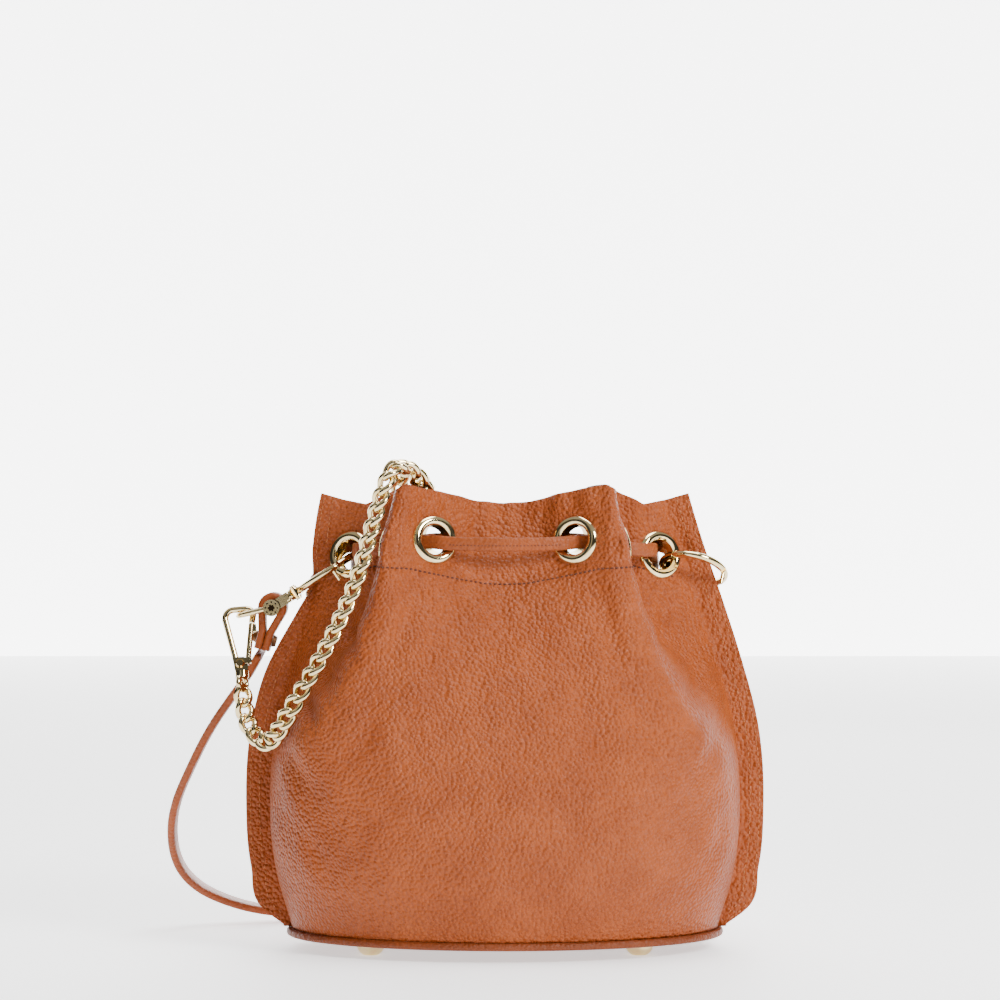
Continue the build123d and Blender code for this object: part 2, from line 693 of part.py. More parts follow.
# ---------------------------------------------------------------- chain and its clasps
def clasp_plane(ring_bar, toward, facing):
    """Plane of a clasp hanging on a ring's bar: local x from the bar to the chain."""
    along = toward.normalized()
    return Plane(origin=ring_bar - along * (2 * CLASP_ROD + RING_ROD + 0.15), x_dir=along,
                 z_dir=(facing - along * facing.dot(along)))


def clasp_frame(label, plane, gate_side):
    """Rounded triangle of rod on a solid block, open where the gate closes it."""
    top = CLASP_ROD
    with BuildPart() as frame:
        with BuildLine(plane) as bow:
            FilletPolyline((CLASP_BLOCK + 1, -gate_side * CLASP_FOOT), (top, -gate_side * (CLASP_TOP + 0.6)),
                           (top, gate_side * (CLASP_TOP + 0.6)), (7.2, gate_side * (CLASP_TOP - 0.85)),
                           radius=[3.6, 2.6])
        path = bow.wire()
        with BuildSketch(Plane(origin=path @ 0, z_dir=path % 0)):
            Circle(CLASP_ROD)
        sweep(path=path)
        with BuildSketch(plane.offset(-1.7)):
            with BuildLine():
                Polyline((CLASP_BLOCK, gate_side * 1.5), (CLASP_BLOCK, -gate_side * 3.4),
                         (CLASP_BLOCK_END, -gate_side * 2.6), (CLASP_BLOCK_END, gate_side * 2.6),
                         (CLASP_BLOCK + 3.4, gate_side * 2.9), (CLASP_BLOCK + 3.4, gate_side * 1.5),
                         (CLASP_BLOCK, gate_side * 1.5))
            make_face()
        extrude(amount=3.4)
        for height in (-1.7, 1.35):
            with BuildSketch(plane.offset(height)):
                with Locations((CLASP_BLOCK + 1.5, gate_side * 2.0)):
                    Rectangle(2.4, 2.0)
                with Locations((CLASP_BLOCK + 1.5, gate_side * (CLASP_FOOT + 0.9))):
                    Circle(1.2)
                    Circle(0.57, mode=Mode.SUBTRACT)
            extrude(amount=0.35)
        with BuildSketch(Plane(origin=plane.from_local_coords((CLASP_BLOCK + 2.0, 0, 0)),
                               x_dir=plane.y_dir, z_dir=plane.x_dir)):
            Circle(1.05)
        extrude(amount=8, mode=Mode.SUBTRACT)
    frame.part.label = label
    return frame.part


def clasp_gate(label, plane, gate_side):
    """The clasp's sprung leg, with its eye and a small lever."""
    with BuildPart() as gate:
        with BuildLine(plane) as leg:
            Line((7.6, gate_side * (CLASP_TOP - 0.95)), (CLASP_BLOCK + 0.6, gate_side * (CLASP_FOOT + 0.75)))
        path = leg.wire()
        with BuildSketch(Plane(origin=path @ 0, z_dir=path % 0)):
            Circle(CLASP_ROD - 0.15)
        sweep(path=path)
        with BuildSketch(plane.offset(-1.2)):
            with Locations((CLASP_BLOCK + 1.5, gate_side * (CLASP_FOOT + 0.9))):
                Circle(1.35)
        extrude(amount=2.4)
        lever = Plane(origin=plane.from_local_coords((9.6, gate_side * (CLASP_TOP - 1.3), 0)),
                      x_dir=plane.x_dir, z_dir=plane.y_dir * gate_side)
        with BuildSketch(lever):
            RectangleRounded(3.6, 1.5, 0.6)
        extrude(amount=2.2)
        with BuildSketch(plane.offset(-2)):
            with Locations((CLASP_BLOCK + 1.5, gate_side * (CLASP_FOOT + 0.9))):
                Circle(0.6)
        extrude(amount=4, mode=Mode.SUBTRACT)
    gate.part.label = label
    return gate.part


def clasp_rivet(label, plane, gate_side):
    """The gate's hinge pin and the domed stud on the clasp's block."""
    with BuildPart() as rivet:
        with BuildSketch(plane.offset(-1.7)):
            with Locations((CLASP_BLOCK + 1.5, gate_side * (CLASP_FOOT + 0.9))):
                Circle(0.53)
        extrude(amount=3.4)
        for side in (-1, 1):
            with BuildSketch(plane.offset(side * 1.75)):
                with Locations((CLASP_BLOCK + 2.6, -gate_side * 0.5)):
                    Circle(1.9)
            extrude(amount=side * 0.9, taper=30)
    rivet.part.label = label
    return rivet.part


def clasp_swivel(label, plane, link_index):
    """Barrel that turns in the clasp's block, with the eye for the first link."""
    axis_plane = Plane(origin=plane.from_local_coords((CLASP_BLOCK + 2.6, 0, 0)), x_dir=plane.y_dir,
                       z_dir=plane.x_dir)
    end = CLASP_BLOCK_END - CLASP_BLOCK - 2.6
    with BuildPart() as swivel:
        with BuildSketch(axis_plane):
            Circle(1.0)
        extrude(amount=end + 1)
        with BuildSketch(axis_plane.offset(end + 0.15)):
            Circle(2.7)
        extrude(amount=2.6)
        eye_centre = plane.from_local_coords((CLASP_EYE, 0, 0))
        turned = link_across(plane.x_dir, link_index)
        with BuildSketch(Plane(origin=eye_centre + plane.x_dir * 2.9, x_dir=plane.x_dir,
                               z_dir=plane.x_dir.cross(turned))):
            Circle(1.05)
        revolve(axis=Axis(eye_centre, turned))
    swivel.part.label = label
    return swivel.part


def link_across(along, index):
    """The direction of a link's width; it turns a quarter from link to link."""
    level = along.cross(Vector(0, 0, 1)).normalized()
    rise = along.cross(level).normalized()
    turn = radians(45 if index % 2 == 0 else -45)
    return level * cos(turn) + rise * sin(turn)


def chain_links(points):
    """Oval links laid along the chain's route, from the front clasp's eye to the rear one's."""
    with BuildLine() as route:
        FilletPolyline(*points, radius=corner_radii(points))
    path = route.wire()
    count = 2 * int(path.length / LINK_PITCH / 2)
    half_straight = (LINK_LENGTH - LINK_WIDTH) / 2
    mid_radius = LINK_WIDTH / 2 - LINK_WIRE
    with BuildPart() as chain:
        for index in range(count):
            share = (index + 0.5) / count
            along = path % share
            across = link_across(along, index)
            plane = Plane(origin=path @ share, x_dir=along, z_dir=along.cross(across))
            with BuildLine(plane) as oval:
                Line((-half_straight, mid_radius), (half_straight, mid_radius))
                ThreePointArc((half_straight, mid_radius), (half_straight + mid_radius, 0),
                              (half_straight, -mid_radius))
                Line((half_straight, -mid_radius), (-half_straight, -mid_radius))
                ThreePointArc((-half_straight, -mid_radius), (-half_straight - mid_radius, 0),
                              (-half_straight, mid_radius))
            loop = oval.wire()
            with BuildSketch(Plane(origin=loop @ 0, z_dir=loop % 0)):
                Circle(LINK_WIRE)
            sweep(path=loop)
    chain.part.label = "chain_links"
    print(f"chain_links: {count} links, route {path.length:.0f}")
    return chain.part


# ---------------------------------------------------------------- assembly
def write(part):
    export_step(part, f"parts/{part.label}.step")


INNER_FACE = PANEL_THICKNESS + LAYER_GAP
RIM_LEVEL = 186.0
LEVELS = sorted(QUARTERS)[1:-1]
PANEL_LEVELS = [PANEL_BOTTOM, LINING_BOTTOM] + LEVELS[:-1] + [FACING_BOTTOM, LEVELS[-1], RIM_LEVEL]
FACING_LEVELS = [FACING_BOTTOM, LEVELS[-1], RIM_LEVEL]
LINING_LEVELS = [LINING_BOTTOM] + LEVELS[:-1] + [FACING_BOTTOM - 0.2]
for name, front in (("front", True), ("back", False)):
    write(leather_half(f"{name}_panel", 0, PANEL_THICKNESS, PANEL_LEVELS, front, flange=True))
    write(leather_half(f"{name}_facing", INNER_FACE, FACING_THICKNESS, FACING_LEVELS, front))
    write(leather_half(f"{name}_lining", INNER_FACE, LINING_THICKNESS, LINING_LEVELS, front, pierced=False))
    planes = FRONT_PLANES if front else BACK_PLANES
    write(eyelets(f"{name}_eyelets", planes))
    write(eyelet_washers(f"{name}_eyelet_washers", planes))

write(base_plate("base_panel", BASE_Z, 2.2, WELT_WIDTH + 0.1))
write(base_plate("base_board", 7.3, 2.1, WELT_WIDTH + 1.2))
write(base_plate("base_lining", 11.3, 0.8, WELT_WIDTH + 2.4))
write(base_welt())
write(base_feet())
write(foot_washers())

write(drawstring())
write(drawstring_slider())
write(drawstring_tips())

HOOKS = {
    "left": (unit_plane(LEFT_APEX, LEFT_AXIS, LEFT_SPREAD), -1, LEFT_RING_AXIS, LEFT_FOOT),
    "right": (unit_plane(RIGHT_APEX, RIGHT_AXIS, RIGHT_SPREAD), 1, RIGHT_RING_AXIS, RIGHT_FOOT),
}
for name, (plane, gate_side, ring_axis, strap_foot) in HOOKS.items():
    write(hook_frame(f"{name}_hook_frame", plane, gate_side))
    write(hook_gate(f"{name}_hook_gate", plane, gate_side))
    write(hook_gate_pin(f"{name}_hook_gate_pin", plane, gate_side))
    write(hook_swivel(f"{name}_hook_swivel", plane))
    write(hook_cross_pin(f"{name}_hook_cross_pin", plane))
    write(d_ring(f"{name}_d_ring", plane, ring_axis))
    write(strap_loop(f"{name}_strap_loop", plane, strap_foot))
    write(strap_screw(f"{name}_strap_screw", plane, strap_foot))

write(tube("strap_left", STRAP_LEFT, STRAP_TUBE))
write(strap_hank())
write(tube("strap_right", STRAP_RIGHT, STRAP_TUBE))

left_ring = ring_plane(HOOKS["left"][0], LEFT_RING_AXIS).from_local_coords((RING_REACH - 0.3, -5, 0))
right_ring = ring_plane(HOOKS["right"][0], RIGHT_RING_AXIS).from_local_coords((RING_REACH, -2.5, 0))
CLASPS = {
    "front": (clasp_plane(left_ring, Vector(*CHAIN[0]) - left_ring, Vector(0, 1, 0)), -1, 0),
    "rear": (clasp_plane(right_ring, Vector(*CHAIN[-1]) - right_ring, RIGHT_SPREAD), 1, 0),
}
chain_ends = []
for name, (plane, gate_side, link_index) in CLASPS.items():
    write(clasp_frame(f"{name}_clasp_frame", plane, gate_side))
    write(clasp_gate(f"{name}_clasp_gate", plane, gate_side))
    write(clasp_rivet(f"{name}_clasp_rivet", plane, gate_side))
    write(clasp_swivel(f"{name}_clasp_swivel", plane, link_index))
    chain_ends.append(plane.from_local_coords((CLASP_EYE + 1.75, 0, 0)))
write(chain_links([chain_ends[0]] + CHAIN + [chain_ends[1]]))
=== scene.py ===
import json
from math import cos, pi, radians, sin

import bpy
import numpy as np
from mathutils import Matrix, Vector


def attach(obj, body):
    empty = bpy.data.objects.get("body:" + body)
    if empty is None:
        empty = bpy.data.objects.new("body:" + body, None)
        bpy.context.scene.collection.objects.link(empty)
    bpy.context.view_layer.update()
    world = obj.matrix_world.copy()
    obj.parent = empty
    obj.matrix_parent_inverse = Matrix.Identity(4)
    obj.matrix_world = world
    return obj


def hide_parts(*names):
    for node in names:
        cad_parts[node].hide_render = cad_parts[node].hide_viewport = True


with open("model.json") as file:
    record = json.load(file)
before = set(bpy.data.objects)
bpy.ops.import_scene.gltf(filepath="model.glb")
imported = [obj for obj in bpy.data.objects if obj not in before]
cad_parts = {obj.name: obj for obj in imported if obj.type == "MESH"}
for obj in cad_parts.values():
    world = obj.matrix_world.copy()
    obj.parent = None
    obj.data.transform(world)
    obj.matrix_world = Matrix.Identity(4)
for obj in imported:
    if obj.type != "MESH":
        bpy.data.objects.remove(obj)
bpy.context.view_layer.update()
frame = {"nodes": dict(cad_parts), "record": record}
MM = 0.001

# ---------------------------------------------------------------- sizes and places, in millimetres
# These are the CAD source's own numbers.
BASE_Z = 5.0
BASE_HALF_WIDTH = 89.4
BASE_HALF_DEPTH = 57.0
WELT_HEIGHT = 3.2
PANEL_BOTTOM = BASE_Z + WELT_HEIGHT + 0.1
PANEL_THICKNESS = 2.2
FACING_BOTTOM = 146.5
LINING_BOTTOM = 12.0
FLANGE_FACE = 1.5             # how far a flange's face stands from the middle plane
EYELET_HOLE = 7.9             # radius of the cut in the leather, under the eyelet's flange
LACE_HALF_WIDTH = 2.8
LACE_HALF_THICKNESS = 1.25
STRAP_HALF_WIDTH = 6.5
STRAP_HALF_THICKNESS = 1.6
LINK_HALF_LENGTH = 4.3        # of a link's centreline
LINK_HALF_WIDTH = 2.75
LINK_WIRE = 1.3
LINK_PITCH = 6.35


def superellipse_quarter(half_width, half_depth, power):
    """Eleven points of a superellipse, from the centre front to the side seam."""
    points = []
    for step in range(11):
        angle = radians(9 * step)
        x = half_width * abs(sin(angle)) ** (2 / power)
        y = half_depth * abs(cos(angle)) ** (2 / power)
        points.append((x, y if step < 10 else 0.0))
    return points


# Outer outline of one quarter at each height, from the centre front to the seam.
QUARTERS = {
    PANEL_BOTTOM: superellipse_quarter(87.2, 55.6, 2.0),
    30.0: superellipse_quarter(93.4, 60.0, 2.35),
    60.0: superellipse_quarter(96.2, 61.0, 2.6),
    88.0: [(0, 56.5), (24, 56.2), (46, 54.6), (63, 51.6), (73.5, 48), (80, 42.5),
           (84, 36), (87.3, 28.5), (90, 20), (92.8, 10.5), (94.4, 0)],
    112.0: [(0, 50), (20, 50), (39, 50), (54, 49), (62.5, 46), (67.5, 39.5),
            (70, 32), (73, 25.5), (77, 18.5), (83.5, 10.5), (88.8, 0)],
    138.0: [(0, 38), (16, 39), (33, 42.3), (45.5, 45), (53, 44), (56.3, 38),
            (55.5, 29), (54.5, 20.5), (58.5, 15.5), (70, 8.8), (80.5, 0)],
    163.5: [(0, 26), (14, 27.8), (28, 33.8), (40, 40), (47.5, 41.6), (49.8, 36),
            (46.3, 26.5), (42.8, 16.8), (47.5, 12.2), (62, 7), (72.4, 0)],
    196.0: [(0, 18.5), (12, 20.2), (24, 26.3), (34, 33.6), (40.5, 35.5), (42.3, 31),
            (39.8, 22.5), (36.8, 14.5), (41, 10.4), (53, 6), (62.5, 0)],
}
# Height of the rim, and outer edge of the seam flanges from the base up.
RIM = [(0, 181.6), (11, 182.3), (25, 186.0), (40, 189.2), (48, 185.4), (57, 181.2), (66, 183), (75, 185.6),
       (112, 184)]
RIGHT_EDGE = [(90.5, 9), (98.6, 15), (104, 33), (106, 58), (103.8, 91), (97.2, 117),
              (89.6, 141), (81.4, 165), (75.2, 186), (73, 194)]
LEFT_EDGE = [(90.5, 9), (98.6, 15), (104, 33), (106, 58), (103.8, 91), (98.4, 112),
             (84.6, 138), (79.8, 146.5), (78.8, 163.5), (75.2, 186), (73, 194)]
# Eyelets of the right front quarter: x, y, z, yaw of the face from straight ahead, tilt upwards.
FRONT_EYELETS = [(28, -33.0, 166.8, -27, 10), (46.6, -26.6, 163.5, 106, 6),
                 (63.3, -6.6, 160.5, 30, 10)]
BACK_EYELETS = [(28, -33.0, 166.8, -27, 10), (46.6, -26.6, 163.5, 106, 6),
                (65.3, -7.0, 156.2, 30, 10)]
LACE_HALF = [(0, -36.0, 163.8), (20, -36.8, 165.0), (31, -29.3, 166.4), (41, -25.5, 164.5),
             (53.5, -23.5, 162.6), (60.6, -16, 162.6), (61.0, -6, 162.4), (62.2, 6.5, 157.2),
             (62.8, 17, 156.4), (53.8, 24.6, 159.4), (41, 25.5, 164.0), (31, 29.3, 166.4),
             (20, 36.8, 166.0), (9, 39.6, 166.6), (3.4, 41.6, 160.0), (3.4, 49.6, 132.0),
             (4.4, 54.5, 121.0), (5.4, 58.0, 109.0)]
STRAP_LEFT = [(-100.5, 0.5, 119.8), (-104.5, 3, 112), (-113, 7, 101), (-122, 12, 88), (-130, 20, 73),
              (-138, 29, 56), (-140.5, 40, 41), (-138.5, 51, 27.5), (-131, 62, 17),
              (-118, 72, 9.5), (-103, 79, 5.0), (-88, 83, 3.7), (-76, 84, 3.7)]
STRAP_RIGHT = [(66, 84, 16.0), (76, 83.2, 18.5), (84, 79, 26), (88, 71, 38), (90.5, 61.5, 54),
               (91.5, 51.5, 71), (90, 41.5, 87), (86.5, 32, 101), (82, 25.5, 115), (79.5, 22.9, 123.4)]
CHAIN = [(-105.8, -15.5, 96), (-102, -19.5, 88.5), (-96.5, -25.5, 84.6), (-92.5, -32, 87),
         (-87.5, -38.5, 95.5), (-80.5, -42.5, 107.5), (-72, -45.5, 122), (-64.5, -47, 137),
         (-58.5, -47.5, 151), (-54.5, -46.5, 165), (-51, -44.5, 178), (-48.5, -44.2, 187),
         (-44.5, -41.5, 196.8), (-37, -31.5, 195.4), (-31.5, -21, 185.5), (-29.3, -8, 179), (-29.3, 8, 179),
         (-31.5, 21, 185.5), (-37, 31.5, 195.4), (-43.5, 42, 196.8), (-45, 48, 187), (-43, 51.5, 174),
         (-37, 56, 156),
         (-27, 60, 138), (-13, 64, 121), (4, 68, 107), (22, 71, 98), (39, 70, 96), (51, 64.5, 101)]
CHAIN_ENDS = [(-106.58, -12.65, 106.72), (59.95, 51.95, 114.99)]

# ---------------------------------------------------------------- camera
camera = bpy.data.objects.new("camera", bpy.data.cameras.new("camera"))
bpy.context.scene.collection.objects.link(camera)
camera.location = (-0.002, -1.4, 0.1828)
camera.rotation_euler = (radians(90), 0, 0)
camera.data.sensor_width = 36
camera.data.lens = 122.9
camera.data.clip_start = 0.05
bpy.context.scene.camera = camera


# ---------------------------------------------------------------- routes
def nurbs_object(name, points):
    """A NURBS curve through given route points, in metres."""
    curve = bpy.data.curves.new(name, "CURVE")
    curve.dimensions = "3D"
    curve.resolution_u = 10
    spline = curve.splines.new("NURBS")
    spline.points.add(len(points) - 1)
    for spot, point in zip(spline.points, points):
        spot.co = (point[0] * MM, point[1] * MM, point[2] * MM, 1)
    spline.order_u = 3
    spline.use_endpoint_u = True
    made = bpy.data.objects.new(name, curve)
    bpy.context.scene.collection.objects.link(made)
    return made


def route_points(name, points, step):
    """Evenly spaced points of a route's NURBS, in millimetres."""
    made = nurbs_object(name, points)
    mesh = bpy.data.meshes.new_from_object(made)
    line = np.array([v.co[:] for v in mesh.vertices]) / MM
    bpy.data.objects.remove(made)
    bpy.data.meshes.remove(mesh)
    runs = np.concatenate([[0], np.cumsum(np.linalg.norm(np.diff(line, axis=0), axis=1))])
    count = max(2, int(round(runs[-1] / step)))
    places = np.linspace(0, runs[-1], count + 1)
    return np.stack([np.interp(places, runs, line[:, k]) for k in range(3)], axis=1)


def mirror_x(point):
    """The same point on the other side of the bag."""
    return (-point[0], point[1], point[2])


# The strap's spare length: three runs laid on each other behind the bag.
HANK_RUNS = [(0, 84, 3.6), (56, 84, 3.5), (64.5, 84, 3.5), (64.5, 84, 9.9), (56, 84, 9.9), (0, 84, 10.2),
             (-62, 84, 10.0), (-70.5, 84, 10.0), (-70.5, 84, 16.6), (-62, 84, 16.6), (0, 84, 16.0)]
lace_route = [mirror_x(p) for p in reversed(LACE_HALF[1:])] + LACE_HALF[1:]
lace_line = route_points("lace_route", lace_route, 1.4)
strap_line = route_points("strap_route", STRAP_LEFT + HANK_RUNS + STRAP_RIGHT, 2.0)
chain_line = route_points("chain_route", [CHAIN_ENDS[0]] + CHAIN + [CHAIN_ENDS[1]], 0.5)


# ---------------------------------------------------------------- small tools
def unit(vectors):
    """Each vector at length one."""
    return vectors / np.maximum(np.linalg.norm(vectors, axis=-1, keepdims=True), 1e-9)


def mesh_object(name, points, faces, material, smooth=True):
    """A mesh from points in millimetres."""
    mesh = bpy.data.meshes.new(name)
    mesh.from_pydata((np.asarray(points, float) * MM).tolist(), [], faces)
    mesh.validate()
    mesh.polygons.foreach_set("use_smooth", [smooth] * len(mesh.polygons))
    mesh.materials.append(material)
    made = bpy.data.objects.new(name, mesh)
    bpy.context.scene.collection.objects.link(made)
    return made


def tangents(line):
    """Direction of a line at each of its points."""
    return unit(np.gradient(line, axis=0))


def band(line, width_hint, half_width, half_thickness):
    """Rings of a rounded flat band along a line; width_hint gives each ring's width direction."""
    along = tangents(line)
    across = unit(width_hint - (width_hint * along).sum(1)[:, None] * along)
    normal = np.cross(along, across)
    corner = min(half_thickness * 0.8, half_width * 0.5)
    profile = []
    for turn in range(16):
        angle = 2 * pi * (turn + 0.5) / 16
        u = (half_width - corner) * (1 if cos(angle) > 0 else -1) + corner * cos(angle)
        v = (half_thickness - corner) * (1 if sin(angle) > 0 else -1) + corner * sin(angle)
        profile.append((u, v))
    for u in (0.33, -0.33):
        profile.append((u * half_width, half_thickness))
        profile.append((u * half_width, -half_thickness))
    profile.sort(key=lambda p: np.arctan2(p[1] / half_thickness, p[0] / half_width))
    rings = [line + across * u + normal * v for u, v in profile]
    return np.stack(rings, axis=1), across, normal


def tube_faces(ring_count, ring_size, caps=True, closed=False):
    """Faces of a tube whose vertices are numbered ring by ring."""
    faces = []
    last = ring_count if closed else ring_count - 1
    for ring in range(last):
        here = ring * ring_size
        there = ((ring + 1) % ring_count) * ring_size
        for spot in range(ring_size):
            after = (spot + 1) % ring_size
            faces.append((here + spot, here + after, there + after, there + spot))
    if caps and not closed:
        faces.append(tuple(reversed(range(ring_size))))
        faces.append(tuple(range((ring_count - 1) * ring_size, ring_count * ring_size)))
    return faces


def band_object(name, rings, material):
    """A closed mesh around the rings of a band."""
    count, size = rings.shape[:2]
    return mesh_object(name, rings.reshape(-1, 3), tube_faces(count, size), material)


def stitches(name, places, along, across, normal, material, length=1.7, width=0.34, lift=0.1):
    """Short rounded thread stitches, joined in one mesh."""
    shape = []
    for share, size in ((-1.0, 0.35), (-0.7, 0.9), (0.0, 1.1), (0.7, 0.9), (1.0, 0.35)):
        for turn in range(6):
            angle = 2 * pi * turn / 6
            shape.append((share * length / 2, cos(angle) * width * size,
                          sin(angle) * width * size + lift - abs(share) * 0.2))
    shape = np.array(shape)
    points = (places[:, None, :] + along[:, None, :] * shape[None, :, 0:1]
              + across[:, None, :] * shape[None, :, 1:2] + normal[:, None, :] * shape[None, :, 2:3])
    one = tube_faces(5, 6)
    faces = [tuple(v + 30 * k for v in face) for k in range(len(places)) for face in one]
    return mesh_object(name, points.reshape(-1, 3), faces, material)


# ---------------------------------------------------------------- materials
def new_material(name, colour, roughness, metallic=0.0):
    """A plain material and its shader node."""
    material = bpy.data.materials.new(name)
    material.use_nodes = True
    shader = material.node_tree.nodes["Principled BSDF"]
    shader.inputs["Base Color"].default_value = (*colour, 1)
    shader.inputs["Roughness"].default_value = roughness
    shader.inputs["Metallic"].default_value = metallic
    return material, shader


def add_node(material, kind, **values):
    """A node with some of its inputs set."""
    node = material.node_tree.nodes.new(kind)
    for key, value in values.items():
        node.inputs[key].default_value = value
    return node


def mottle(material, shader, dark, light, scale):
    """Two tones mixed by soft noise, on the base colour."""
    links = material.node_tree.links
    place = add_node(material, "ShaderNodeTexCoord")
    noise = add_node(material, "ShaderNodeTexNoise", Scale=scale, Detail=3.0)
    ramp = add_node(material, "ShaderNodeValToRGB")
    ramp.color_ramp.elements[0].position = 0.35
    ramp.color_ramp.elements[1].position = 0.65
    ramp.color_ramp.elements[0].color = (*dark, 1)
    ramp.color_ramp.elements[1].color = (*light, 1)
    links.new(place.outputs["Object"], noise.inputs["Vector"])
    links.new(noise.outputs["Fac"], ramp.inputs["Fac"])
    links.new(ramp.outputs["Color"], shader.inputs["Base Color"])
    return place


def leather(name, dark, light, roughness, cell, strength):
    """Pebble-grained leather: raised cells with creases between them."""
    material, shader = new_material(name, light, roughness)
    shader.inputs["Specular IOR Level"].default_value = 0.25
    place = mottle(material, shader, dark, light, 60.0)
    links = material.node_tree.links
    pebbles = add_node(material, "ShaderNodeTexVoronoi", Scale=cell)
    pebbles.feature = "F1"
    fine = add_node(material, "ShaderNodeTexNoise", Scale=cell * 1.1, Detail=2.0)
    soft = add_node(material, "ShaderNodeMath")
    soft.operation = "MULTIPLY"
    soft.inputs[1].default_value = 0.22
    join = add_node(material, "ShaderNodeMath")
    join.operation = "SUBTRACT"
    bump = add_node(material, "ShaderNodeBump", Strength=strength, Distance=0.0010)
    links.new(place.outputs["Object"], pebbles.inputs["Vector"])
    links.new(place.outputs["Object"], fine.inputs["Vector"])
    links.new(fine.outputs["Fac"], soft.inputs[0])
    links.new(soft.outputs["Value"], join.inputs[0])
    links.new(pebbles.outputs["Distance"], join.inputs[1])
    links.new(join.outputs["Value"], bump.inputs["Height"])
    links.new(bump.outputs["Normal"], shader.inputs["Normal"])
    return material


def woven(name, dark, light, scale):
    """Plain cloth: two crossed waves."""
    material, shader = new_material(name, light, 0.85)
    place = mottle(material, shader, dark, light, 90.0)
    links = material.node_tree.links
    heights = []
    for direction in ("X", "Z"):
        wave = add_node(material, "ShaderNodeTexWave", Scale=scale, Distortion=0.3)
        wave.bands_direction = direction
        links.new(place.outputs["Object"], wave.inputs["Vector"])
        heights.append(wave.outputs["Fac"])
    join = add_node(material, "ShaderNodeMath")
    join.operation = "MAXIMUM"
    bump = add_node(material, "ShaderNodeBump", Strength=0.4, Distance=0.0003)
    links.new(heights[0], join.inputs[0])
    links.new(heights[1], join.inputs[1])
    links.new(join.outputs["Value"], bump.inputs["Height"])
    links.new(bump.outputs["Normal"], shader.inputs["Normal"])
    return material


def metal(name, dark, light, roughness):
    """Plated metal with faint handling marks."""
    material, shader = new_material(name, light, roughness, 1.0)
    place = mottle(material, shader, dark, light, 180.0)
    links = material.node_tree.links
    marks = add_node(material, "ShaderNodeTexNoise", Scale=160.0, Detail=1.0)
    bump = add_node(material, "ShaderNodeBump", Strength=0.03, Distance=0.0002)
    links.new(place.outputs["Object"], marks.inputs["Vector"])
    links.new(marks.outputs["Fac"], bump.inputs["Height"])
    links.new(bump.outputs["Normal"], shader.inputs["Normal"])
    return material


body_leather = leather("body_leather", (0.250, 0.049, 0.007), (0.295, 0.061, 0.010), 0.46, 660.0, 0.95)
trim_leather = leather("trim_leather", (0.15, 0.031, 0.006), (0.185, 0.039, 0.008), 0.48, 740.0, 0.5)
strap_leather = leather("strap_face", (0.22, 0.046, 0.008), (0.27, 0.058, 0.012), 0.44, 740.0, 0.4)
lining_cloth = woven("lining_cloth", (0.30, 0.19, 0.115), (0.36, 0.24, 0.15), 700.0)
board_card = woven("board_card", (0.36, 0.29, 0.2), (0.42, 0.34, 0.25), 260.0)
gold = metal("pale_gold", (0.70, 0.54, 0.27), (0.84, 0.68, 0.38), 0.08)
brown_screw = metal("brown_screw", (0.10, 0.045, 0.02), (0.16, 0.075, 0.035), 0.4)
# near-black metal: painted shade for the recessed star socket and dots on the cross pin's head
painted_socket_shade = metal("painted_socket_shade", (0.015, 0.008, 0.004), (0.025, 0.013, 0.006), 0.6)
light_thread = woven("light_thread", (0.36, 0.105, 0.03), (0.44, 0.14, 0.045), 2500.0)
dark_thread = woven("dark_thread", (0.075, 0.018, 0.006), (0.11, 0.028, 0.01), 2500.0)
SLOT_LOOKS = {"caramel_leather": body_leather, "strap_leather": strap_leather,
              "lining_fabric": lining_cloth,
              "stiffener_board": board_card, "gold_metal": gold, "dark_screw": brown_screw}
slot_of = {s["node"]: s["material_slot"] for s in frame["record"]["subparts"]}
for node, cad in frame["nodes"].items():
    cad.data.materials.clear()
    cad.data.materials.append(SLOT_LOOKS[slot_of[node]])


def settle(made, slot_name, *nodes):
    """The finished piece rides on the bag and stands for its CAD nodes."""
    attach(made, "bag")
    if nodes:
        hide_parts(*nodes)
    return made


# ---------------------------------------------------------------- leather body
def hermite(places, values, wanted):
    """Smooth curve through values at rising places."""
    places = np.asarray(places, float)
    values = np.asarray(values, float)
    slopes = np.diff(values, axis=0) / np.diff(places).reshape(-1, *([1] * (values.ndim - 1)))
    steps = np.diff(places).reshape(-1, *([1] * (values.ndim - 1)))
    middle = (slopes[:-1] * steps[1:] + slopes[1:] * steps[:-1]) / (steps[1:] + steps[:-1])
    tangent = np.concatenate([slopes[:1], middle, slopes[-1:]])
    spot = np.clip(np.searchsorted(places, wanted) - 1, 0, len(places) - 2)
    width = places[spot + 1] - places[spot]
    t = (wanted - places[spot]) / width
    shape = (-1,) + (1,) * (values.ndim - 1)
    t, width = t.reshape(shape), width.reshape(shape)
    return ((2 * t**3 - 3 * t**2 + 1) * values[spot] + (t**3 - 2 * t**2 + t) * width * tangent[spot]
            + (-2 * t**3 + 3 * t**2) * values[spot + 1] + (t**3 - t**2) * width * tangent[spot + 1])


LEVELS = sorted(QUARTERS)
NET = np.array([[(-x, -y) for x, y in reversed(QUARTERS[z][1:])] + [(x, -y) for x, y in QUARTERS[z]]
                for z in LEVELS])
PER_SEGMENT = 12
ROWS = np.concatenate([np.linspace(PANEL_BOTTOM, 30, 24)[:-1], np.linspace(30, 140, 84)[:-1],
                       np.linspace(140, 186, 52)])


